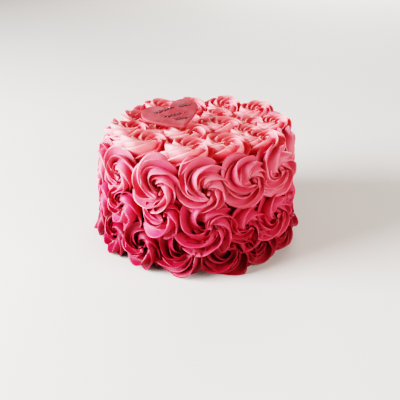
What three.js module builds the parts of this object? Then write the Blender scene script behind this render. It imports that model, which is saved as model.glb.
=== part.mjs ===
// A small round buttercream cake. Rosettes piped with a star nozzle cover its side in three rows, from
// deep raspberry at the foot to rose at the rim, and pale pink ones cover its top. A thin sugar heart
// leans on the top ones.
// Millimetres, +Z up, origin at the centre of the flat base. Angles go round the cake in degrees, from
// the front (-Y) towards the right (+X).
import * as THREE from "three";
import { mergeVertices } from "three/addons/utils/BufferGeometryUtils.js";

// The cake under the piping: a six-inch sponge with its thin base coat
const BODY_RADIUS = 77;
const BODY_HEIGHT = 93;
const BODY_EDGE = 3; // its top edge is rounded by this much
const BODY_SIDES = 72;
const BODY_COLOR = 0xb52748;

// The rope of cream that a rosette is wound from, and the form of the swirl
const PETALS = 6; // the nozzle's teeth
const ROPE_SHARE = 0.44; // the rope's own radius, against the rosette's
const GROOVE_SHARE = 0.58; // how far a groove stands out from the rope's middle, against a ridge
const TURN_STEP = 32; // degrees round the rope from one ring of points to the next
const TURN_STEPS = 6;
const FOOT_SHARE = 0.84; // the radius of the foot that sticks to the cake, against the rosette's
const EYE_SHARE = 0.4; // the height of the eye's bottom, against the rosette's depth
const FOOT_HOLLOW = 1.6; // keeps the flat facets of a foot clear of the cake's round side

// How rosettes meet
const GAP = 0.3; // between solids that touch
const OVERLAP_SLOPE = 0.4; // a later rosette leans over an earlier one with this slope
const HALVINGS = 16; // of the search for how far a point may reach
const WELD = 1e-4; // points nearer than this become one

// The rosettes, in the order of piping. Those that show at the front are [angle, height on the side or
// distance from the axis on the top, radius, eye to the right, eye up]. The others follow evenly round
// the back.
const ROWS = [
  {
    name: "lower",
    on: "side",
    color: 0x9c1230,
    depth: 20.5,
    shown: [
      [-57, 20, 25, 2, 0],
      [-32, 22, 25, 3, 3],
      [-8.5, 23, 26, 5, 6],
      [15, 21, 29, 5, 3],
      [38, 20, 26, 0, 3],
      [62, 20, 26, 0, 0],
    ],
    behind: { count: 8, place: 21, radius: 26 },
  },
  {
    name: "middle",
    on: "side",
    color: 0xc42c50,
    depth: 19,
    shown: [
      [-46, 53, 24, -3, 4],
      [-20, 60, 23, 4, -1],
      [4.5, 50, 31, 3, 0],
      [30, 42, 25, 3, 4],
      [53, 43, 27, 1, 6],
    ],
    behind: { count: 8, place: 51, radius: 26 },
  },
  {
    name: "upper",
    on: "side",
    color: 0xd8566f,
    depth: 17.5,
    shown: [
      [-53, 87, 25, 2, -4],
      [-24, 88, 26, 4, -6],
      [3, 88, 26, 4, -5],
      [28, 84, 27, 6, -3],
      [54, 84, 25, 1, -1],
    ],
    behind: { count: 8, place: 83, radius: 26 },
  },
  {
    name: "top_outer",
    on: "top",
    color: 0xe9929a,
    depth: 15.5,
    shown: [
      [-150, 67, 22, 3, 2],
      [-119, 64, 22, 2, 4],
      [-84, 64, 23, 8, 6],
      [-53, 61, 26, 9, -2],
      [-8, 56, 26, 4, 2],
      [33, 51, 26, 4, 2],
      [62, 69, 23, -2, 5],
      [95, 73, 20, -2, 3],
      [128, 71, 22, 2, 2],
      [159, 67, 22, 3, 2],
    ],
    behind: { count: 1, place: 65, radius: 22 },
  },
  {
    name: "top_inner",
    on: "top",
    color: 0xee9f9c,
    depth: 17,
    shown: [
      [-28, 18, 27, 0, 4],
      [112, 26, 24, 1, -4],
      [112, 52, 17, 0, 1],
      [153, 42, 19, 1, 0],
      [-160, 28, 20, 2, 1],
      [-92, 34, 19, 3, 2],
      [79, 46, 17, 1, 0],
    ],
    behind: { count: 0 },
  },
];
const SEED = 20;
const JITTER = { angle: 2, place: 1.5, radius: 1.2, eye: 4 };

// The sugar heart
const HEART_WIDTH = 56;
const HEART_LENGTH = 44;
const HEART_CLEFT = 0.44; // how far up from the middle its cleft reaches
// Its outline from the tip round to the right, as curves whose handles and end are shares of half its
// width and half its length
const HEART_CURVES = [
  [0.4, -0.62, 1, -0.28, 1, 0.36],
  [1, 1.12, 0.25, 1.24, 0, HEART_CLEFT],
  [-0.25, 1.24, -1, 1.12, -1, 0.36],
  [-1, -0.28, -0.4, -0.62, 0, -1],
];
const HEART_THICKNESS = 3;
const HEART_ROUNDING = 0.7;
const HEART_TILT = 13; // degrees up towards the back
const HEART_ROLL = 5; // degrees up towards the right
const HEART_TURN = 26; // degrees, its tip towards the right
const HEART_PLACE = [-20.8, 3.7];
const HEART_CARRIERS = 26; // rosettes this near to its middle may carry it
const HEART_COLOR = 0xd07082;

const radians = THREE.MathUtils.degToRad;
const degrees = THREE.MathUtils.radToDeg;

// The same draws every time, between -1 and 1
function seeded(seed) {
  const modulus = 2147483647;
  let state = seed;
  return () => {
    state = (state * 16807) % modulus;
    return (state / modulus) * 2 - 1;
  };
}

// The direction straight out from the cake's axis
function outwardAt(angle) {
  return new THREE.Vector3(Math.sin(radians(angle)), -Math.cos(radians(angle)), 0);
}

// The direction that a rosette faces
function facing({ on, angle }) {
  return on === "side" ? outwardAt(angle) : new THREE.Vector3(0, 0, 1);
}

// A point of a rosette, given to the right, up and out from the middle of its foot. On the side, right
// follows the curve of the cake. On the top, right and up are +X and +Y.
function pointOf({ on, angle, place, depth }, right, up, out) {
  if (on === "top") {
    const foot = outwardAt(angle).multiplyScalar(place);
    return foot.add(new THREE.Vector3(right, up, BODY_HEIGHT + GAP + out));
  }
  const there = angle + degrees(right / (BODY_RADIUS + depth / 2));
  return outwardAt(there)
    .multiplyScalar(BODY_RADIUS + GAP + out)
    .setZ(place + up);
}

// The measures of all rosettes, those of a row together
function layOut() {
  const draw = seeded(SEED);
  return ROWS.flatMap(({ name, on, color, depth, shown, behind }, order) => {
    const last = shown[shown.length - 1][0];
    const step = (shown[0][0] + 360 - last) / (behind.count + 1);
    const others = Array.from({ length: behind.count }, (_, i) => [
      last + step * (i + 1) + JITTER.angle * draw(),
      behind.place + JITTER.place * draw(),
      behind.radius + JITTER.radius * draw(),
      JITTER.eye * draw(),
      JITTER.eye * draw(),
    ]);
    return [...shown, ...others].map(([angle, place, radius, eyeRight, eyeUp], i) => ({
      name: `rosette_${name}_${String(i + 1).padStart(2, "0")}`,
      phase: 180 * draw(),
      on,
      color,
      depth,
      order,
      angle,
      place,
      radius,
      eyeRight,
      eyeUp,
    }));
  });
}

// The planes that part a rosette from those that it presses against. Where a later row meets an earlier
// one, the plane slopes, so that the later one leans over the other.
function wallsOf(rosette, all) {
  const here = pointOf(rosette, 0, 0, rosette.depth / 2);
  return all.flatMap((other) => {
    const there = pointOf(other, 0, 0, other.depth / 2);
    const reach = rosette.radius + other.radius;
    if (other === rosette || here.distanceTo(there) > reach) return [];
    const between = here.clone().lerp(there, rosette.radius / reach);
    const outward = facing(rosette).add(facing(other)).normalize();
    const slope = OVERLAP_SLOPE * Math.sign(other.order - rosette.order);
    const normal = there.sub(here).normalize();
    normal.addScaledVector(outward, slope).normalize();
    return { normal, limit: normal.dot(between) - GAP / 2 };
  });
}

// The largest share of a reach, up to all of it, that the walls and the table leave to a point
function shareWithin(pointAt, walls) {
  const clear = (point) =>
    point.z >= 0 &&
    walls.every(({ normal, limit }) => normal.dot(point) <= limit);
  if (clear(pointAt(1))) return 1;
  let [inside, outside] = [0, 1];
  for (let halving = 0; halving < HALVINGS; halving += 1) {
    const middle = (inside + outside) / 2;
    if (clear(pointAt(middle))) inside = middle;
    else outside = middle;
  }
  return inside;
}

// Rings of a rosette from its foot to the bottom of its eye, each with its reach and height on a ridge
// and in a groove, and how far its ridges have gone round by then. A star rope laid in a ring turns once
// as it goes round, so each ridge climbs from the rim over the crown and down into the eye.
function ringsOf({ radius, depth, on }) {
  const rope = radius * ROPE_SHARE;
  const even = (reach, out) => ({ reach: [reach, reach], out: [out, out], turn: 0 });
  const crown = Array.from({ length: TURN_STEPS }, (_, i) => {
    const turn = radians(TURN_STEP * i);
    const shares = [rope, rope * GROOVE_SHARE];
    return {
      reach: shares.map((share) => radius - rope + share * Math.cos(turn)),
      out: shares.map((share) => depth - rope + share * Math.sin(turn)),
      turn,
    };
  });
  return [
    even(0, on === "side" ? FOOT_HOLLOW : 0),
    even(radius * FOOT_SHARE, 0),
    ...crown,
    even(0, depth * EYE_SHARE),
  ];
}

// A lathe whose columns are the rosette's ridges and grooves in turn, bent to its rings, laid on the
// cake and pressed against its neighbours
function swirlGeometry(rosette, walls) {
  const { radius, eyeRight, eyeUp, phase } = rosette;
  const rings = ringsOf(rosette);
  const columns = PETALS * 2;
  const profile = rings.map((_, i) => new THREE.Vector2(i % (rings.length - 1), i));
  const lathe = new THREE.LatheGeometry(profile, columns);
  lathe.deleteAttribute("normal");
  lathe.deleteAttribute("uv");
  const position = lathe.getAttribute("position");
  for (let vertex = 0; vertex < position.count; vertex += 1) {
    const column = Math.floor(vertex / rings.length) % columns;
    const level = vertex % rings.length;
    const reach = rings[level].reach[column % 2];
    const out = rings[level].out[column % 2];
    const around = radians(phase + (360 * column) / columns) + rings[level].turn;
    const lean = level === 0 ? 0 : 1 - (reach / radius) ** 2;
    const pointAt = (share) =>
      pointOf(
        rosette,
        eyeRight * lean + share * reach * Math.cos(around),
        eyeUp * lean + share * reach * Math.sin(around),
        out,
      );
    const point = pointAt(shareWithin(pointAt, walls));
    position.setXYZ(vertex, point.x, point.y, point.z);
  }
  return mergeVertices(lathe, WELD);
}

// The sponge and its base coat, with a rounded top edge
function bodyGeometry() {
  const edge = new THREE.Vector2(BODY_RADIUS - BODY_EDGE, BODY_HEIGHT - BODY_EDGE);
  const rounding = [0, 45, 90].map((turn) =>
    new THREE.Vector2(BODY_EDGE, 0)
      .rotateAround(new THREE.Vector2(), radians(turn))
      .add(edge),
  );
  const profile = [
    new THREE.Vector2(0, 0),
    new THREE.Vector2(BODY_RADIUS, 0),
    ...rounding,
    new THREE.Vector2(0, BODY_HEIGHT),
  ];
  return new THREE.LatheGeometry(profile, BODY_SIDES).rotateX(Math.PI / 2);
}

// A heart with its tip at the bottom, about the middle of its length
function heartOutline() {
  const half = HEART_WIDTH / 2 - HEART_ROUNDING;
  const top = HEART_LENGTH / 2 - HEART_ROUNDING;
  const shape = new THREE.Shape().moveTo(0, -top);
  for (const curve of HEART_CURVES) {
    shape.bezierCurveTo(...curve.map((share, i) => share * (i % 2 ? top : half)));
  }
  return shape;
}

function heartGeometry() {
  return new THREE.ExtrudeGeometry(heartOutline(), {
    depth: HEART_THICKNESS - 2 * HEART_ROUNDING,
    curveSegments: 8,
    bevelThickness: HEART_ROUNDING,
    bevelSize: HEART_ROUNDING,
    bevelSegments: 1,
  }).translate(0, 0, HEART_ROUNDING);
}

// How high a tilted plane through HEART_PLACE lies when it rests on the rosettes under the heart
function restingHeight(normal, swirls) {
  const middle = new THREE.Vector3(...HEART_PLACE, 0);
  const heights = swirls.flatMap(({ geometry }) => {
    const position = geometry.getAttribute("position");
    return Array.from({ length: position.count }, (_, i) => {
      const point = new THREE.Vector3().fromBufferAttribute(position, i).sub(middle);
      return Math.hypot(point.x, point.y) < HEART_CARRIERS ? normal.dot(point) / normal.z : 0;
    });
  });
  return Math.max(...heights);
}

function cream(geometry, name, color) {
  const material = new THREE.MeshStandardMaterial({ color, roughness: 0.5, metalness: 0 });
  const mesh = new THREE.Mesh(geometry, material);
  mesh.name = name;
  return mesh;
}

const cake = new THREE.Group();
cake.add(cream(bodyGeometry(), "cake_body", BODY_COLOR));

const rosettes = layOut();
const swirls = rosettes.map((rosette) => {
  const geometry = swirlGeometry(rosette, wallsOf(rosette, rosettes));
  return cream(geometry, rosette.name, rosette.color);
});
cake.add(...swirls);

const heart = cream(heartGeometry(), "sugar_heart", HEART_COLOR);
heart.rotation.set(radians(HEART_TILT), -radians(HEART_ROLL), radians(HEART_TURN), "ZYX");
const heartNormal = new THREE.Vector3(0, 0, 1).applyQuaternion(heart.quaternion);
heart.position.set(...HEART_PLACE, restingHeight(heartNormal, swirls) + GAP);
cake.add(heart);

export default cake;
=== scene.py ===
"""A round buttercream cake under piped rosettes, with a sugar heart, on a plain stage."""

import math
import random
from typing import NamedTuple

import bmesh
import bpy
from bpy.props import EnumProperty, FloatProperty, FloatVectorProperty, IntProperty, PointerProperty
from mathutils import Euler, Matrix, Vector, noise
from mathutils.geometry import interpolate_bezier


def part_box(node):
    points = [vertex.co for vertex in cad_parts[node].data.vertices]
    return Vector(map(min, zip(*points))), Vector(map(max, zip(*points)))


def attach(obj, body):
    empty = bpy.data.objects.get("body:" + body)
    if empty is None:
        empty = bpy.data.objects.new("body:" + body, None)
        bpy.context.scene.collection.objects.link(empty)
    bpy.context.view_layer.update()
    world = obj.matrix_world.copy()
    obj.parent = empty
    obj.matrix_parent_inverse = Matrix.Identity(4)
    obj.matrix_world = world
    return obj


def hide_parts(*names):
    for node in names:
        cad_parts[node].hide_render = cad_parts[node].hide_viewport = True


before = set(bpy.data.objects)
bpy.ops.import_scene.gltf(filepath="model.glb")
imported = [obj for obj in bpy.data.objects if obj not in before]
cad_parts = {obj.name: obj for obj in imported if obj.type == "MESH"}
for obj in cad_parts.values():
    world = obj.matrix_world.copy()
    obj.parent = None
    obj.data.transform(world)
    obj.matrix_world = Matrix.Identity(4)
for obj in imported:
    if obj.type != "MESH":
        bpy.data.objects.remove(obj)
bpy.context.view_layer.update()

bl_info = {
    "name": "Rosette cake",
    "version": (1, 0, 0),
    "blender": (4, 5, 0),
    "location": "View3D > Sidebar > Cake",
    "description": "A buttercream cake under piped rosettes, with a sugar heart",
    "category": "Add Mesh",
}

MM = 0.001

# The sponge under the rosettes, and the cuts that round its upper edge
BODY_LOW, BODY_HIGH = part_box("cake_body")
BODY_RADIUS = (BODY_HIGH.x - BODY_LOW.x) / 2
BODY_HEIGHT = BODY_HIGH.z
BODY_SIDES = 160
BODY_EDGE = 3 * MM
BODY_EDGE_CUTS = 4


class Winding(NamedTuple):
    """Where a rosette sits and how its rope is wound, in degrees and millimetres."""

    angle: float  # round the cake, from the front to the right
    place: float  # up the side, or out from the axis on the top
    radius: float
    eye_right: float  # the eye, to the right of the middle
    eye_up: float
    tail: float  # the clock angle at which the rope ends
    tilt_right: float  # how much further it stands out at its right edge, as a share
    tilt_up: float
    rise: float  # how much deeper it is than its row


# The rosettes that show best from the camera. The others draw their winding.
SHOWN = {
    "rosette_lower_01": Winding(-57, 20, 25, 2, 0, 190, -0.1, -0.3, -1.5),
    "rosette_lower_02": Winding(-35, 22, 25, 8, 2, 140, 0, -0.3, 0),
    "rosette_lower_03": Winding(-11, 23, 26, 12, 3, 110, 0, -0.3, 0),
    "rosette_lower_04": Winding(18, 21, 33, 5, 5, 110, 0, -0.35, 0),
    "rosette_lower_05": Winding(40, 20, 24, 0, 4, 140, 0, -0.3, -1.5),
    "rosette_lower_06": Winding(63, 20, 25, 0, 0, 150, 0.1, -0.3, -2),
    "rosette_middle_01": Winding(-46, 53, 24, -3, 4, 180, -0.1, -0.14, 0),
    "rosette_middle_02": Winding(-20, 58, 23, 4, 0, 170, 0, -0.3, 0),
    "rosette_middle_03": Winding(4, 50, 31.5, 6, -2, 305, 0, -0.24, 3),
    "rosette_middle_04": Winding(28.5, 39, 25.5, 6, 4.5, 150, -0.1, -0.2, 0),
    "rosette_middle_05": Winding(49.5, 38.5, 28, 8, 6, 100, 0.15, -0.15, 2.5),
    "rosette_upper_01": Winding(-54, 86, 25, 9, -7, 180, -0.1, -0.1, 0),
    "rosette_upper_02": Winding(-26, 85, 27, 10, -7, 210, 0, -0.2, 1),
    "rosette_upper_03": Winding(3, 86, 26, 6, -7, 185, 0, -0.18, 0),
    "rosette_upper_04": Winding(27.5, 84, 26, 12, -1, 170, -0.12, -0.1, 0),
    "rosette_upper_05": Winding(52, 84, 27, 6, 2, 120, 0.25, -0.1, 3),
    "rosette_upper_12": Winding(-109, 80, 25, 0, 0, 170, 0, -0.2, 0),
    "rosette_upper_13": Winding(-81, 79, 24, 2, -2, 190, 0, -0.2, 0),
    "rosette_top_outer_03": Winding(-84, 64, 23, 8, 6, 130, 0, 0, 2.5),
    "rosette_top_outer_04": Winding(-53, 61, 26, 9, -2, 130, 0, 0, 4.5),
    "rosette_top_outer_05": Winding(-8, 56, 26, 4, 2, 130, 0, 0, 5.5),
    "rosette_top_outer_06": Winding(29.5, 50.5, 27, -2, 1, 130, 0, 0, 4.5),
    "rosette_top_outer_07": Winding(60, 65.5, 24, -0.5, 7, 130, 0, 0, 2.5),
    "rosette_top_outer_08": Winding(95, 73, 20, -2, 3, 130, 0, 0, 1.5),
    "rosette_top_inner_01": Winding(-28, 18, 27, 0, 4, 130, 0, 0, 4),
    "rosette_top_inner_02": Winding(112, 26, 24, 1, -4, 130, 0, 0, 2.5),
    "rosette_top_inner_07": Winding(79, 46, 18, 1, 0, 130, 0, 0, 0.5),
}


# Settings
def colour_property(name, description, colour):
    """A colour that the user can change."""
    return FloatVectorProperty(
        name=name, description=description, subtype="COLOR", size=3, min=0, max=1, default=colour
    )


def length_property(name, description, millimetres):
    """A length, given here in millimetres."""
    return FloatProperty(
        name=name, description=description, unit="LENGTH", subtype="DISTANCE", default=millimetres * MM
    )


def share_property(name, description, share):
    """A share from 0 to 1."""
    return FloatProperty(
        name=name, description=description, subtype="FACTOR", min=0, max=1, default=share
    )


def angle_property(name, description, degrees):
    """An angle, given here in degrees."""
    return FloatProperty(
        name=name, description=description, subtype="ANGLE", default=math.radians(degrees)
    )


def power_property(name, description, watts):
    """The power of a light."""
    return FloatProperty(name=name, description=description, unit="POWER", default=watts)


def turns_property(name, description, turns):
    """A number of the rope's turns."""
    return FloatProperty(name=name, description=description, default=turns)


def teeth_property(name, description, teeth):
    """How many teeth a star nozzle has."""
    return IntProperty(name=name, description=description, min=4, max=9, default=teeth)


class CakePiping(bpy.types.PropertyGroup):
    """The nozzle, and how the rope of cream is wound."""

    teeth: teeth_property("Teeth", "Teeth of the side rows' star nozzle", 6)
    top_teeth: teeth_property("Top teeth", "Teeth of the top's star nozzle", 7)
    cuts: IntProperty(name="Points", description="The section's points from ridge to ridge", default=11)
    steps: IntProperty(name="Steps", description="The rope's sections in one turn", default=60)
    turns: turns_property("Turns", "Turns of the rope in a rosette", 1.9)
    opening: turns_property("Opening", "Turns until the ring is full size", 0.9)
    fading: turns_property("Fading", "Turns over which the rope thins to its end", 0.4)
    groove: share_property("Groove", "How far the side's grooves stand out from the rope's middle", 0.28)
    top_groove: share_property("Top groove", "The same for the grooves on the top", 0.42)
    lean: share_property("Lean", "How far the ridges lean towards the eye, as a part of a turn", 0.08)
    uneven: share_property("Uneven", "How much lower than another a ridge may be", 0.25)
    ruffles: FloatProperty(name="Ruffles", description="How closely a ridge's waves follow", default=1.6)
    ruffle: share_property("Ruffle", "How much a ridge's height waves", 0.2)
    sway: share_property("Sway", "How much a ridge's edge waves to its sides", 0.3)
    start: share_property("Start", "The rope's thickness where it starts in the eye", 0.45)
    sunk: share_property("Sunk", "The rope's height where it starts in the eye", 0.65)
    finish: share_property("Finish", "The rope's thickness where it ends", 0.12)
    eye: length_property("Eye", "Radius of the open eye", 0.8)
    throat: length_property("Throat", "How much wider the eye is inside the full ring", 0.8)
    rest: share_property("Rest", "How steeply the top rosettes climb onto the side ones", 0.25)
    lower_radius: length_property("Lower radius", "A rosette's radius in the lower row", 25)
    middle_radius: length_property("Middle radius", "A rosette's radius in the middle row", 25)
    upper_radius: length_property("Upper radius", "A rosette's radius in the upper row", 26)
    top_outer_radius: length_property("Top radius", "A rosette's radius at the top's edge", 22.5)
    top_inner_radius: length_property("Inner radius", "A rosette's radius in the top's middle", 21.5)


class CakeColours(bpy.types.PropertyGroup):
    """The creams, from the foot of the cake to its top, and the heart."""

    lower: colour_property("Raspberry", "The cream of the lower row", (0.235, 0.001, 0.021))
    middle: colour_property("Cerise", "The cream of the middle row", (0.47, 0.033, 0.074))
    upper: colour_property("Rose", "The cream of the upper row", (0.64, 0.1, 0.14))
    top: colour_property("Blush", "The cream of the top", (0.96, 0.22, 0.235))
    heart: colour_property("Heart", "The sugar paste of the heart", (0.29, 0.039, 0.047))
    ink: colour_property("Ink", "The pen strokes on the heart", (0.015, 0.003, 0.004))
    floor: colour_property("Floor", "The plain floor of the stage", (0.6, 0.58, 0.55))


class CakeHeart(bpy.types.PropertyGroup):
    """The sugar heart that leans on the top."""

    width: length_property("Width", "The heart's width", 56)
    length: length_property("Length", "The heart's length", 44)
    cleft: share_property("Cleft", "How far up from the heart's middle its cleft reaches", 0.44)
    thickness: length_property("Thickness", "The rolled paste's thickness", 3)
    rounding: length_property("Rounding", "How far its edges are rounded", 0.9)
    tilt: angle_property("Tilt", "Up towards the back", 13)
    roll: angle_property("Roll", "Up towards the right", 5)
    turn: angle_property("Turn", "Its tip to the right", 26)
    stroke: length_property("Stroke", "Radius of a pen stroke", 0.75)


class CakeStage(bpy.types.PropertyGroup):
    """The camera and the studio's lights."""

    distance: length_property("Distance", "From the camera to the point it looks at", 600)
    elevation: angle_property("Elevation", "The camera above the horizon", 27.34)
    roll: angle_property("Roll", "The camera's roll", -0.42)
    field: angle_property("Field", "Field of view", 36.57)
    window: power_property("Window", "Power of the window light", 80)
    fill: power_property("Fill", "Power of the fill light", 18)
    back: power_property("Back", "Power of the light from behind", 28)
    sky: FloatProperty(name="Sky", description="Strength of the light from all round", default=0.11)


# Shading: the sockets of a Mix node that blends colours, by their places
MIX_SHARE = 0
MIX_FIRST = 6
MIX_SECOND = 7
MIX_RESULT = 2

# What the cream's painted highlight on its ridges goes towards, and what paste and ink go towards where
# they are pale, dusted or thin
RIDGE_HIGHLIGHT_TINT = (1.0, 0.62, 0.66)
PALE_PASTE = (1, 0.8, 0.8)
SUGAR_DUST = (1, 0.9, 0.9)
THIN_INK = (0.3, 0.05, 0.06)
WHITE = (1, 1, 1)

# The heights in metres at which the coat changes to the next row's cream, and how sharply it does
ROW_JOINS = (0.036, 0.067, 0.093)
JOIN_SHARPNESS = 200


class Value:
    """A shader socket on which Python's arithmetic adds Math nodes."""

    def __init__(self, finish, socket):
        self.finish = finish
        self.socket = socket

    def _math(self, operation, first, second):
        return self.finish.node("ShaderNodeMath", {"operation": operation}, {0: first, 1: second})

    def __add__(self, other):
        return self._math("ADD", self, other)

    def __radd__(self, other):
        return self._math("ADD", other, self)

    def __sub__(self, other):
        return self._math("SUBTRACT", self, other)

    def __rsub__(self, other):
        return self._math("SUBTRACT", other, self)

    def __mul__(self, other):
        return self._math("MULTIPLY", self, other)

    def __rmul__(self, other):
        return self._math("MULTIPLY", other, self)

    def __pow__(self, other):
        return self._math("POWER", self, other)

    def __rpow__(self, other):
        return self._math("POWER", other, self)


class Finish:
    """A material whose nodes are made one call at a time."""

    def __init__(self, name):
        self.material = bpy.data.materials.new(name)
        self.material.use_nodes = True
        self.tree = self.material.node_tree
        self.shader = self.tree.nodes["Principled BSDF"]

    def node(self, kind, settings=None, sockets=None, output=0):
        """Makes any node: its settings first, then the values or links of its sockets."""
        made = self.tree.nodes.new(kind)
        for key, value in (settings or {}).items():
            setattr(made, key, value)
        for key, value in (sockets or {}).items():
            self.feed(made.inputs[key], value)
        return Value(self, made.outputs[output])

    def feed(self, socket, value):
        """Links a socket to another, or sets it to a number, a colour or a vector."""
        if isinstance(value, Value):
            self.tree.links.new(value.socket, socket)
        elif socket.type == "RGBA":
            socket.default_value = (*value[:3], 1)
        else:
            socket.default_value = value

    def set(self, **values):
        """Sets the shader's own sockets, named with underscores for spaces."""
        for key, value in values.items():
            self.feed(self.shader.inputs[key.replace("_", " ")], value)

    def coordinates(self):
        """Object coordinates in metres."""
        return self.node("ShaderNodeTexCoord", output="Object")

    def place(self, scale=(1, 1, 1)):
        """Object coordinates, stretched by scale."""
        return self.node("ShaderNodeMapping", {}, {"Vector": self.coordinates(), "Scale": scale})

    def rope(self, scale):
        """The rope's own coordinates: turns along it and the share of the way round it."""
        where = self.node("ShaderNodeUVMap", {"uv_map": "rope"})
        return self.node("ShaderNodeMapping", {}, {"Vector": where, "Scale": scale})

    def attribute(self, name):
        """A number that the mesh carries at each of its points."""
        return self.node("ShaderNodeAttribute", {"attribute_name": name}, output="Fac")

    def noise(self, where, scale, detail=2, roughness=0.5):
        """Cloudy noise from 0 to 1."""
        sockets = {"Vector": where, "Scale": scale, "Detail": detail, "Roughness": roughness}
        return self.node("ShaderNodeTexNoise", {}, sockets)

    def blend(self, share, first, second, kind="MIX"):
        """One colour over another by a share from 0 to 1."""
        settings = {"data_type": "RGBA", "blend_type": kind, "clamp_factor": True}
        sockets = {MIX_SHARE: share, MIX_FIRST: first, MIX_SECOND: second}
        return self.node("ShaderNodeMix", settings, sockets, MIX_RESULT)

    def bump(self, height, strength, distance, below=None):
        """A normal that follows a height, over another normal where one is given."""
        sockets = {"Height": height, "Strength": strength, "Distance": distance}
        if below:
            sockets["Normal"] = below
        return self.node("ShaderNodeBump", {}, sockets)


def towards(colour, other, share):
    """A colour that has gone a share of the way to another."""
    return tuple(a + (b - a) * share for a, b in zip(colour, other))


def buttercream(name, colour):
    """Satin cream: painted shade deeper in the grooves, a painted highlight paler on the thin ridges,
    with fine streaks along the rope.
    """
    finish = Finish(name)
    colour = tuple(colour)
    red, _, blue = colour
    crest = finish.attribute("crest")
    patches = finish.noise(finish.place(), scale=34, detail=3)
    # Painted shade: the darker cream that the grooves are tinted towards
    painted_groove_shade = towards(colour, (red * 0.55, 0.0, blue * 0.35), 0.6)
    # Painted highlight: the pale colour that the crests of the thin ridges go towards
    painted_highlight = towards(colour, RIDGE_HIGHLIGHT_TINT, 0.06 + 0.18 * red)
    # Painted shade in the grooves, strongest where the crest is low
    toned = finish.blend((1 - crest) ** 2, colour, painted_groove_shade)
    # Painted highlight along the ridges' crests
    toned = finish.blend(crest**8 * 0.5, toned, painted_highlight)
    # Random paler patches, tinted part of the way to the painted highlight's colour
    toned = finish.blend((patches - 0.5) * 1.2 + 0.15, toned, towards(colour, painted_highlight, 0.8))
    streaks = finish.noise(finish.rope((9, 150, 1)), scale=1, detail=3, roughness=0.6)
    grain = finish.noise(finish.place(), scale=1100, detail=3, roughness=0.6)
    dents = finish.noise(finish.place(), scale=160)
    normal = finish.bump(dents, strength=0.5, distance=0.0008)
    normal = finish.bump(streaks, strength=0.35, distance=0.0003, below=normal)
    normal = finish.bump(grain, strength=0.25, distance=0.00012, below=normal)
    finish.set(
        Base_Color=toned,
        Roughness=patches * 0.16 + 0.34,
        Normal=normal,
        IOR=1.46,
        Specular_IOR_Level=0.2,
        Subsurface_Weight=0.2,
        Subsurface_Scale=0.0012,
        Subsurface_Radius=(1.0, 0.35, 0.3),
    )
    return finish.material


def crumb_coat(name, colours):
    """The thin coat under the rosettes, which takes each row's colour at its height, darkened all over as
    painted shade for the gaps between the rosettes where it shows.
    """
    finish = Finish(name)
    height = finish.node("ShaderNodeSeparateXYZ", {}, {"Vector": finish.coordinates()}, "Z")
    toned = tuple(colours.lower)
    for level, colour in zip(ROW_JOINS, (colours.middle, colours.upper, colours.top)):
        toned = finish.blend((height - level) * JOIN_SHARPNESS + 0.5, toned, tuple(colour))
    # Painted shade: the coat's colour multiplied by itself, as dark as the shaded gaps between the
    # rosettes
    painted_coat_shade = finish.blend(0.5, toned, toned, "MULTIPLY")
    swipes = finish.noise(finish.place((1, 1, 6)), scale=60, detail=3)
    finish.set(
        Base_Color=painted_coat_shade,
        Roughness=swipes * 0.2 + 0.4,
        Normal=finish.bump(swipes, strength=0.5, distance=0.0008),
        Subsurface_Weight=0.15,
        Subsurface_Scale=0.003,
    )
    return finish.material


def sugar_paste(name, colour):
    """Rolled paste: matt, dusted, a little uneven in tone."""
    finish = Finish(name)
    colour = tuple(colour)
    patches = finish.noise(finish.place(), scale=70, detail=3)
    dust = finish.noise(finish.place(), scale=1400, detail=3, roughness=0.7)
    toned = finish.blend((patches - 0.45) * 2, colour, towards(colour, PALE_PASTE, 0.1))
    toned = finish.blend((dust - 0.58) * 3, toned, towards(colour, SUGAR_DUST, 0.22))
    normal = finish.bump(patches, strength=0.4, distance=0.0006)
    finish.set(
        Base_Color=toned,
        Roughness=dust * 0.2 + 0.5,
        Specular_IOR_Level=0.15,
        Normal=finish.bump(dust, strength=0.25, distance=0.0001, below=normal),
        Subsurface_Weight=0.12,
        Subsurface_Scale=0.003,
    )
    return finish.material


def pen_ink(name, colour):
    """Edible ink, thinner in blots."""
    finish = Finish(name)
    colour = tuple(colour)
    blots = finish.noise(finish.place(), scale=900)
    toned = finish.blend(blots, colour, towards(colour, THIN_INK, 0.35))
    finish.set(Base_Color=toned, Roughness=0.45)
    return finish.material


def floor_paint(name, colour):
    """The stage's pale, nearly even paint."""
    finish = Finish(name)
    colour = tuple(colour)
    patches = finish.noise(finish.place(), scale=3)
    toned = finish.blend(patches, colour, towards(colour, WHITE, 0.08))
    finish.set(Base_Color=toned, Roughness=0.75)
    return finish.material


# Making pieces
def new_object(name, bm, material):
    """Turns a bmesh into a finished object at the origin, shaded smooth."""
    mesh = bpy.data.meshes.new(name)
    bm.to_mesh(mesh)
    bm.free()
    mesh.polygons.foreach_set("use_smooth", [True] * len(mesh.polygons))
    mesh.materials.append(material)
    made = bpy.data.objects.new(name, mesh)
    bpy.context.collection.objects.link(made)
    return made


def finish_piece(piece, node):
    """Hangs a piece under the root, and hides the frame's part that it stands for."""
    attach(piece, "root")
    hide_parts(node)


def raise_faces(bm, faces, height):
    """Extrudes flat faces upwards, and gives the raised parts."""
    raised = bmesh.ops.extrude_face_region(bm, geom=faces)["geom"]
    top = [part for part in raised if isinstance(part, bmesh.types.BMVert)]
    bmesh.ops.translate(bm, verts=top, vec=(0, 0, height))
    return raised


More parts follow.
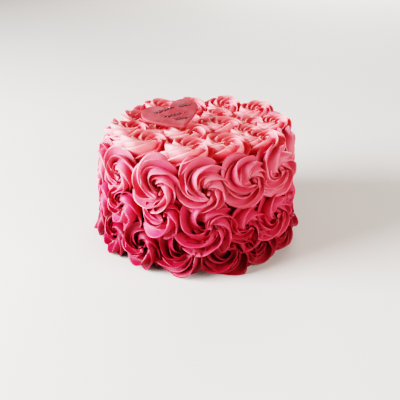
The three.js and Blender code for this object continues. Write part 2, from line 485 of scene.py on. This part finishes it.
def extrude_ring(bm, edges):
    """Extrudes a ring of edges, and gives the new ring's points and edges."""
    made = bmesh.ops.extrude_edge_only(bm, edges=edges)["geom"]
    verts = {part for part in made if isinstance(part, bmesh.types.BMVert)}
    edges = [part for part in made if isinstance(part, bmesh.types.BMEdge)]
    return verts, [edge for edge in edges if verts.issuperset(edge.verts)]


# Rosettes: each row's depth in millimetres, and how much further out it stands at its upper edge
ROW_DEPTHS = {"lower": 21.5, "middle": 18.6, "upper": 17.4, "top_outer": 14, "top_inner": 14}
ROW_TILTS = {"lower": -0.3, "middle": -0.15, "upper": -0.12, "top_outer": 0, "top_inner": 0}
ROWS = tuple(ROW_DEPTHS)

# The limits between which a rosette draws its share of its row's radius, its eye and its end
RADIUS_SPREAD = (0.95, 1.05)
EYE_SPREAD = (-4, 4)
TAIL_SPREAD = (110, 210)

# The limits between which every ridge draws its height, as parts of how uneven the ridges are
RIDGE_SPREAD = (-0.7, 0.3)

# Where on the top a rosette starts to climb, and the height below which cream eases onto the floor
RIM_START = 64 * MM
FOOT_CURVE = 2 * MM

# The rope: how its ridges are turned on the top, how blunt and full they are, how far its points crowd
# onto them, how much the eye's place changes its height, and how far it sinks at its end
TOP_FOLD = math.radians(-20)
RIDGE_BLUNTNESS = 0.001
RIDGE_FULLNESS = 0.7
CROWDING = 0.55
EYE_ON_HEIGHT = 0.4
END_SINK = 0.1

# The waves along the ridges: their seed, how far in a rosette may read them, and how far apart its
# ridges do
WAVE_SEED = 5
WAVE_PLACES = 100
RUFFLE_APART = 7

# The core in the eye. Its foot and its tip are at shares of the rosette's depth.
CORE_SIDES = 12
CORE_RADIUS = 4 * MM
CORE_TIP_RADIUS = CORE_RADIUS / 8
CORE_LOW = 0.3
CORE_HIGH = 0.72
# The crest that the core's foot and tip carry, which sets how much painted groove shade and painted ridge
# highlight the cream puts there
CORE_FOOT_CREST = 0.3
CORE_TIP_CREST = 0.7


def smoothstep(share):
    """Eases a share in and out, between 0 and 1."""
    share = min(1.0, max(0.0, share))
    return share * share * (3 - 2 * share)


def above_floor(height):
    """The height, eased so that what would go through the floor spreads out just above it."""
    if height > FOOT_CURVE:
        return height
    return FOOT_CURVE * math.exp(height / FOOT_CURVE - 1)


def ridge_profile(share):
    """The height at a share of the way from one ridge to the next: sharp ridges, round grooves."""
    dip = math.sqrt(math.sin(math.pi * share) ** 2 + RIDGE_BLUNTNESS) ** RIDGE_FULLNESS
    return max(0.0, 1 - dip)


def crowded(share):
    """Moves the points of a section towards its ridges, which are the sharpest part."""
    return share - CROWDING * math.sin(2 * math.pi * share) / (2 * math.pi)


class Swirl:
    """One rosette's place and shape, from its winding as it shows or else as it is drawn."""

    def __init__(self, node, row, piping):
        draw = random.Random(node)
        low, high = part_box(node)
        middle = (low + high) / 2
        self.on_top = row.startswith("top")
        drawn = Winding(
            angle=math.degrees(math.atan2(middle.x, -middle.y)),
            place=(middle.xy.length if self.on_top else middle.z) / MM,
            radius=getattr(piping, f"{row}_radius") / MM * draw.uniform(*RADIUS_SPREAD),
            eye_right=draw.uniform(*EYE_SPREAD),
            eye_up=draw.uniform(*EYE_SPREAD),
            tail=draw.uniform(*TAIL_SPREAD),
            tilt_right=0,
            tilt_up=ROW_TILTS[row],
            rise=0,
        )
        winding = SHOWN.get(node, drawn)
        self.angle = math.radians(winding.angle)
        self.place = winding.place * MM
        self.radius = winding.radius * MM
        self.depth = (ROW_DEPTHS[row] + winding.rise) * MM
        self.eye = Vector((winding.eye_right, winding.eye_up)) * MM
        self.last = math.radians(90 - winding.tail)
        self.tilt = Vector((winding.tilt_right, winding.tilt_up))
        self.teeth = piping.top_teeth if self.on_top else piping.teeth
        self.groove = piping.top_groove if self.on_top else piping.groove
        self.phase = TOP_FOLD - self.last if self.on_top else draw.uniform(0, 2 * math.pi)
        self.wave_place = draw.uniform(0, WAVE_PLACES)
        self.ridges = [1 + piping.uneven * draw.uniform(*RIDGE_SPREAD) for _ in range(self.teeth)]
        self.rest = piping.rest

    def point(self, right, up, out):
        """A point right, up and out from the foot's middle. On the side, right goes round the cake."""
        out *= 1 + self.tilt.dot((right, up)) / self.radius
        if self.on_top:
            centre = Vector((math.sin(self.angle), -math.cos(self.angle))) * self.place
            foot = centre + Vector((right, up))
            climb = max(0.0, foot.length - RIM_START) * self.rest
            return Vector((*foot, BODY_HEIGHT + out + climb))
        angle = self.angle + right / (BODY_RADIUS + self.depth / 2)
        reach = BODY_RADIUS + out
        return Vector((reach * math.sin(angle), -reach * math.cos(angle), above_floor(self.place + up)))


class Rope:
    """A rosette's rope of cream: a star section extruded round a spiral, from the eye to the rim."""

    def __init__(self, swirl, piping):
        self.swirl = swirl
        self.piping = piping
        self.columns = swirl.teeth * piping.cuts
        self.steps = round(piping.turns * piping.steps)
        self.crests, self.angles, self.nearest = [], [], []
        for column in range(self.columns):
            tooth = column // piping.cuts
            share = crowded(column / piping.cuts % 1)
            self.crests.append(ridge_profile(share))
            self.angles.append(2 * math.pi * (tooth + share) / swirl.teeth)
            self.nearest.append((tooth + round(share)) % swirl.teeth)
        self.bm = bmesh.new()
        self.column_of = self.bm.verts.layers.int.new("column")
        self.step_of = self.bm.verts.layers.int.new("step")
        # How near each point is to a ridge's crest; the cream paints shade in the grooves and a highlight
        # on the crests from it
        self.crest_of = self.bm.verts.layers.float.new("crest")

    def lay(self, verts, step):
        """Puts one section of the rope in its place."""
        swirl, piping = self.swirl, self.piping
        turn = piping.turns * step / self.steps
        around = swirl.last - 2 * math.pi * (piping.turns - turn)
        outward = Vector((math.cos(around), math.sin(around)))
        opened = smoothstep(turn / piping.opening)
        faded = smoothstep(1 - (piping.turns - turn) / piping.fading)
        thick = (piping.start + (1 - piping.start) * opened) * (1 - (1 - piping.finish) * faded)
        hole = piping.eye + piping.throat * opened
        inner = swirl.eye + outward * hole
        middle = inner + (outward * swirl.radius - inner) * thick / 2
        span = (swirl.radius - hole - swirl.eye.dot(outward)) / 2
        span_up = (swirl.radius - hole - EYE_ON_HEIGHT * swirl.eye.dot(outward)) / 2
        crown = swirl.depth * (piping.sunk + (1 - piping.sunk) * opened) * (1 - END_SINK * faded)
        across = outward * piping.ruffles
        waves = [
            noise.noise_vector(Vector((*across, swirl.wave_place + RUFFLE_APART * ridge)))
            for ridge in range(swirl.teeth)
        ]
        for vert in verts:
            column = vert[self.column_of]
            crest = self.crests[column]
            ridge = self.nearest[column]
            vert[self.step_of] = step
            vert[self.crest_of] = crest
            tall = swirl.ridges[ridge] * (1 + piping.ruffle * waves[ridge].x)
            reach = thick * (swirl.groove + (1 - swirl.groove) * crest * tall)
            section = self.angles[column] + around + swirl.phase
            section += (2 * math.pi * piping.lean + piping.sway * waves[ridge].y) * crest
            place = middle + outward * span * max(-thick, reach * math.cos(section))
            out = crown - span_up * thick + span_up * reach * math.sin(section)
            vert.co = swirl.point(place.x, place.y, out)

    def wind(self):
        """Lays the rope from the eye to the rim and closes its ends."""
        bm = self.bm
        verts = bmesh.ops.create_circle(bm, segments=self.columns, radius=self.swirl.radius)["verts"]
        for column, vert in enumerate(verts):
            vert[self.column_of] = column
        self.lay(verts, 0)
        edges = bm.edges[:]
        for step in range(1, self.steps + 1):
            verts, edges = extrude_ring(bm, edges)
            self.lay(verts, step)
        bmesh.ops.holes_fill(bm, edges=[edge for edge in bm.edges if edge.is_boundary])

    def fill_eye(self):
        """The pointed core in the eye, where the nozzle set down its first cream."""
        swirl = self.swirl
        length = (CORE_HIGH - CORE_LOW) * swirl.depth
        core = bmesh.ops.create_cone(
            self.bm,
            cap_ends=True,
            segments=CORE_SIDES,
            radius1=CORE_RADIUS,
            radius2=CORE_TIP_RADIUS,
            depth=length,
        )["verts"]
        for vert in core:
            vert[self.crest_of] = CORE_TIP_CREST if vert.co.z > 0 else CORE_FOOT_CREST
            out = CORE_LOW * swirl.depth + length / 2 + vert.co.z
            vert.co = swirl.point(swirl.eye.x + vert.co.x, swirl.eye.y + vert.co.y, out)

    def write_uv(self):
        """A UV map along and round the rope, closed where the last column meets the first."""
        uv = self.bm.loops.layers.uv.new("rope")
        ends = {0, self.columns - 1}
        for face in self.bm.faces:
            wraps = len(face.verts) == 4 and ends <= {vert[self.column_of] for vert in face.verts}
            for loop in face.loops:
                column = loop.vert[self.column_of]
                if wraps and column == 0:
                    column = self.columns
                loop[uv].uv = (loop.vert[self.step_of] / self.piping.steps, column / self.columns)


def pipe_rosette(node, row, piping, material):
    """Pipes one rosette where its winding says."""
    rope = Rope(Swirl(node, row, piping), piping)
    rope.wind()
    rope.fill_eye()
    bmesh.ops.recalc_face_normals(rope.bm, faces=rope.bm.faces)
    rope.write_uv()
    finish_piece(new_object(node.replace("rosette", "piped"), rope.bm, material), node)


# The heart's right side, as shares of half its width and half its length. Each curve has its two ends
# and, between them, their handles. The curve over the lobe ends in the cleft.
WIDEST = (1, 0.36)
TIP_CURVE = ((0, -1), (0.42, -0.58), (1, -0.08), WIDEST)
LOBE_CURVE = (WIDEST, (1, 1.12), (0.25, 1.24))
CURVE_POINTS = 28

# The heart's edge is rounded in this many cuts. Its faces are cut into rings, each this share of the one
# before, about a point at this share of its length.
HEART_EDGE_CUTS = 3
RINGS = (0.85, 0.82, 0.78, 0.7, 0.55, 0.3)
RING_CENTRE = 0.1

# How far the paste sags as a share of its thickness, how closely its hollows follow each other, and the
# slice of the noise that they are read from
SAG = 0.15
SAG_SCALE = 45
SAG_SLICE = 3.1

# The lines on the heart, in millimetres: each one's start, its end, its number of waves and their height
PEN_LINES = (
    ((-16, 9), (4.5, 11), 7, 1.9),
    ((8.5, 9.5), (20, 9.5), 4, 2.4),
    ((-11.5, -0.5), (6, -1), 6, 1.9),
    ((-4, -8), (8.5, -10), 4, 2.1),
)

# The dots, their size beside a line's, and how high ink stands as a share of its width
PEN_DOTS = ((10, -2), (11, -10), (22, 10))
DOT_SIZE = 1.3
DOT_CUTS = 2
INK_FLATNESS = 0.6
STROKE_SIDES = 8

# A line's waves: the points of each, how far it loops along the line, and how their height changes
WAVE_POINTS = 16
WAVE_LOOP = 0.5
WAVE_HEIGHT = 0.75
WAVE_CHANGE = 0.35
WAVE_CHANGES = 7


def heart_outline(heart):
    """The heart's outline from its tip round to its tip again, about the middle of its length."""
    half, top = heart.width / 2, heart.length / 2
    cleft = (0, heart.cleft)
    points = []
    for curve in (TIP_CURVE, (*LOBE_CURVE, cleft)):
        ends = [Vector((half * x, top * y, 0)) for x, y in curve]
        points += interpolate_bezier(*ends, CURVE_POINTS)[:-1]
    left = [Vector((-point.x, point.y, 0)) for point in reversed(points[1:])]
    return points + [Vector((0, top * heart.cleft, 0))] + left


def heart_place(heart):
    """The heart's turn and tilt, and the point that its middle has on the cake."""
    low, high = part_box("sugar_heart")
    turn = Euler((heart.tilt, -heart.roll, heart.turn), "XYZ").to_matrix().to_4x4()
    corners = [turn @ point for point in heart_outline(heart)]
    thick = turn @ Vector((0, 0, heart.thickness))
    own_low = Vector([min(0, thick[i]) + min(corner[i] for corner in corners) for i in range(3)])
    own_high = Vector([max(0, thick[i]) + max(corner[i] for corner in corners) for i in range(3)])
    return Matrix.Translation((low + high) / 2 - (own_low + own_high) / 2) @ turn


def sag(heart, x, y):
    """How far the thin paste has settled, as smooth noise over its face."""
    return heart.thickness * SAG * noise.noise(Vector((x * SAG_SCALE, y * SAG_SCALE, SAG_SLICE)))


def flat_faces(bm):
    """The heart's upper and lower faces, which have more corners than the faces round its edge."""
    return [face for face in bm.faces if len(face.verts) > 4]


def pen_line(start, end, waves, height):
    """The points of a plain wavy line."""
    steps = waves * WAVE_POINTS
    start, end = Vector(start), Vector(end)
    along = (end - start).normalized()
    across = Vector((-along.y, along.x))
    for step in range(steps + 1):
        share = step / steps
        angle = 2 * math.pi * waves * share
        change = WAVE_HEIGHT + WAVE_CHANGE * math.cos(WAVE_CHANGES * share * math.pi)
        swing = height * math.sin(angle) * change
        yield start.lerp(end, share) + along * WAVE_LOOP * math.cos(angle) + across * swing


def draw_line(bm, number_of, heart, points):
    """A line of ink through points on the heart's face, with closed ends."""
    verts = bmesh.ops.create_circle(bm, segments=STROKE_SIDES, radius=heart.stroke)["verts"]
    for number, vert in enumerate(verts):
        vert[number_of] = number
    edges = list(dict.fromkeys(edge for vert in verts for edge in vert.link_edges))
    first = edges
    for step, point in enumerate(points):
        if step:
            verts, edges = extrude_ring(bm, edges)
        ahead = points[min(step + 1, len(points) - 1)] - points[max(step - 1, 0)]
        side = Vector((-ahead.y, ahead.x)).normalized()
        middle = point * MM
        for vert in verts:
            angle = 2 * math.pi * vert[number_of] / STROKE_SIDES
            spread = side * heart.stroke * math.cos(angle)
            lift = heart.thickness + sag(heart, *middle) + INK_FLATNESS * heart.stroke * math.sin(angle)
            vert.co = (middle.x + spread.x, middle.y + spread.y, lift)
    for end in (first, edges):
        bmesh.ops.edgeloop_fill(bm, edges=end)


def draw_dot(bm, heart, dot):
    """A flattened dot of ink on the heart's face."""
    size = heart.stroke * DOT_SIZE
    ball = bmesh.ops.create_icosphere(bm, subdivisions=DOT_CUTS, radius=size)["verts"]
    where = Vector(dot) * MM
    bmesh.ops.scale(bm, verts=ball, vec=(1, 1, INK_FLATNESS))
    bmesh.ops.translate(bm, verts=ball, vec=(*where, heart.thickness + sag(heart, *where)))


# The stage, in metres: where the camera looks, where the lights face, how near the camera sees, and half
# the floor's width
CAMERA_TARGET = Vector((3.61, 0, 28.86)) * MM
LIGHT_TARGET = (0, 0, 0.05)
NEAREST_SEEN = 0.01
HALF_FLOOR = 4
SKY_COLOUR = (1.0, 0.96, 0.93, 1)

# Each light's width, place and colour
LIGHTS = {
    "window": (0.8, (-1.15, -0.31, 0.44), (0.97, 0.97, 1.0)),
    "fill": (0.8, (0.95, -0.68, 0.42), (1.0, 0.92, 0.86)),
    "back": (1.1, (0.6, 1.9, 0.75), (1.0, 0.94, 0.9)),
}


def area_light(name, power, size, place, colour):
    """A square studio light that faces the cake."""
    light = bpy.data.lights.new(name, "AREA")
    light.energy = power
    light.shape = "SQUARE"
    light.size = size
    light.color = colour
    lamp = bpy.data.objects.new(name, light)
    lamp.location = place
    lamp.rotation_euler = (Vector(LIGHT_TARGET) - Vector(place)).to_track_quat("-Z", "Y").to_euler()
    bpy.context.collection.objects.link(lamp)


def studio_world(strength):
    """The soft light from all round."""
    world = bpy.data.worlds.new("studio")
    world.use_nodes = True
    sky = world.node_tree.nodes["Background"]
    sky.inputs["Color"].default_value = SKY_COLOUR
    sky.inputs["Strength"].default_value = strength
    return world


def photo_camera(stage):
    """The camera, at the angle from which the cake was photographed."""
    camera = bpy.data.cameras.new("photo_camera")
    camera.angle = stage.field
    camera.clip_start = NEAREST_SEEN
    back = Vector((0, -math.cos(stage.elevation), math.sin(stage.elevation)))
    holder = bpy.data.objects.new("photo_camera", camera)
    holder.location = CAMERA_TARGET + back * stage.distance
    facing = (-back).to_track_quat("-Z", "Y").to_matrix() @ Matrix.Rotation(stage.roll, 3, "Z")
    holder.rotation_euler = facing.to_euler()
    bpy.context.collection.objects.link(holder)
    return holder


# Steps
class CAKE_OT_crumb_coat(bpy.types.Operator):
    """Spreads the thin coat on the sponge."""

    bl_idname = "cake.crumb_coat"
    bl_label = "Crumb Coat"

    def execute(self, context):
        bm = bmesh.new()
        bmesh.ops.create_circle(bm, cap_ends=True, segments=BODY_SIDES, radius=BODY_RADIUS)
        raised = raise_faces(bm, bm.faces[:], BODY_HEIGHT)
        rim = [part for part in raised if isinstance(part, bmesh.types.BMEdge)]
        bmesh.ops.bevel(
            bm,
            geom=rim,
            offset=BODY_EDGE,
            segments=BODY_EDGE_CUTS,
            profile=0.5,
            affect="EDGES",
            material=-1,
        )
        bmesh.ops.recalc_face_normals(bm, faces=bm.faces)
        material = crumb_coat("crumb_coat_cream", context.scene.cake_colours)
        finish_piece(new_object("crumb_coat", bm, material), "cake_body")
        return {"FINISHED"}


class CAKE_OT_pipe_row(bpy.types.Operator):
    """Pipes one row of rosettes."""

    bl_idname = "cake.pipe_row"
    bl_label = "Pipe Row"

    row: EnumProperty(
        name="Row", description="The row to pipe", items=[(row, row, "") for row in ROWS], default=ROWS[0]
    )

    def execute(self, context):
        colours = context.scene.cake_colours
        colour = getattr(colours, "top" if self.row.startswith("top") else self.row)
        material = buttercream(f"{self.row}_cream", colour)
        nodes = sorted(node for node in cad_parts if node.startswith(f"rosette_{self.row}_"))
        if not nodes:
            raise RuntimeError(f"the frame has no rosettes in the {self.row} row")
        noise.seed_set(WAVE_SEED)
        for node in nodes:
            pipe_rosette(node, self.row, context.scene.cake_piping, material)
        return {"FINISHED"}


class CAKE_OT_sugar_heart(bpy.types.Operator):
    """Cuts the sugar heart and leans it on the top."""

    bl_idname = "cake.sugar_heart"
    bl_label = "Sugar Heart"

    def execute(self, context):
        heart = context.scene.cake_heart
        bm = bmesh.new()
        face = bm.faces.new([bm.verts.new(point) for point in heart_outline(heart)])
        raise_faces(bm, [face], heart.thickness)
        bmesh.ops.recalc_face_normals(bm, faces=bm.faces)
        rim = {edge for face in flat_faces(bm) for edge in face.edges}
        bmesh.ops.bevel(
            bm,
            geom=list(rim),
            offset=heart.rounding,
            segments=HEART_EDGE_CUTS,
            profile=0.5,
            affect="EDGES",
            material=-1,
        )
        centre = Matrix.Translation((0, RING_CENTRE * heart.length, 0))
        for share in RINGS:
            bmesh.ops.inset_region(bm, faces=flat_faces(bm), thickness=0)
            inner = {vert for face in flat_faces(bm) for vert in face.verts}
            bmesh.ops.scale(bm, verts=list(inner), vec=(share, share, 1), space=centre)
        for vert in bm.verts:
            vert.co.z += sag(heart, vert.co.x, vert.co.y)
        bmesh.ops.transform(bm, matrix=heart_place(heart), verts=bm.verts)
        material = sugar_paste("heart_paste", context.scene.cake_colours.heart)
        finish_piece(new_object("heart_topper", bm, material), "sugar_heart")
        return {"FINISHED"}


class CAKE_OT_pen_strokes(bpy.types.Operator):
    """Draws the plain wavy lines and dots on the heart."""

    bl_idname = "cake.pen_strokes"
    bl_label = "Pen Strokes"

    def execute(self, context):
        heart = context.scene.cake_heart
        bm = bmesh.new()
        number_of = bm.verts.layers.int.new("number")
        for line in PEN_LINES:
            draw_line(bm, number_of, heart, list(pen_line(*line)))
        for dot in PEN_DOTS:
            draw_dot(bm, heart, dot)
        bmesh.ops.transform(bm, matrix=heart_place(heart), verts=bm.verts)
        bmesh.ops.recalc_face_normals(bm, faces=bm.faces)
        made = new_object("heart_strokes", bm, pen_ink("heart_ink", context.scene.cake_colours.ink))
        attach(made, "root")
        return {"FINISHED"}


class CAKE_OT_stage(bpy.types.Operator):
    """Sets the floor, the soft studio lights and the camera."""

    bl_idname = "cake.stage"
    bl_label = "Stage"

    def execute(self, context):
        scene = context.scene
        bm = bmesh.new()
        bmesh.ops.create_grid(bm, x_segments=1, y_segments=1, size=HALF_FLOOR)
        floor = new_object("studio_floor", bm, floor_paint("floor_paint", scene.cake_colours.floor))
        for name, (size, place, colour) in LIGHTS.items():
            area_light(f"{name}_light", getattr(scene.cake_stage, name), size, place, colour)
        scene.world = studio_world(scene.cake_stage.sky)
        scene.view_settings.view_transform = "Filmic"
        scene.view_settings.look = "Very High Contrast"
        scene.camera = photo_camera(scene.cake_stage)
        return {"FINISHED"}


class CAKE_PT_panel(bpy.types.Panel):
    """The cake's sizes, colours and steps."""

    bl_label = "Rosette Cake"
    bl_idname = "CAKE_PT_panel"
    bl_space_type = "VIEW_3D"
    bl_region_type = "UI"
    bl_category = "Cake"

    def draw(self, context):
        for group in GROUPS:
            box = self.layout.box()
            settings = getattr(context.scene, group)
            for key in type(settings).__annotations__:
                box.prop(settings, key)
        self.layout.operator("cake.crumb_coat")
        for row in ROWS:
            self.layout.operator("cake.pipe_row", text=f"Pipe {row}").row = row
        for step in ("cake.sugar_heart", "cake.pen_strokes", "cake.stage"):
            self.layout.operator(step)


GROUPS = {
    "cake_piping": CakePiping,
    "cake_colours": CakeColours,
    "cake_heart": CakeHeart,
    "cake_stage": CakeStage,
}
CLASSES = (
    *GROUPS.values(),
    CAKE_OT_crumb_coat,
    CAKE_OT_pipe_row,
    CAKE_OT_sugar_heart,
    CAKE_OT_pen_strokes,
    CAKE_OT_stage,
    CAKE_PT_panel,
)


def register():
    for each in CLASSES:
        bpy.utils.register_class(each)
    for name, group in GROUPS.items():
        setattr(bpy.types.Scene, name, PointerProperty(type=group))


def unregister():
    for name in GROUPS:
        delattr(bpy.types.Scene, name)
    for each in reversed(CLASSES):
        bpy.utils.unregister_class(each)


def main():
    register()
    bpy.ops.cake.crumb_coat()
    for row in ROWS:
        bpy.ops.cake.pipe_row(row=row)
    bpy.ops.cake.sugar_heart()
    bpy.ops.cake.pen_strokes()
    bpy.ops.cake.stage()


if __name__ == "__main__":
    main()
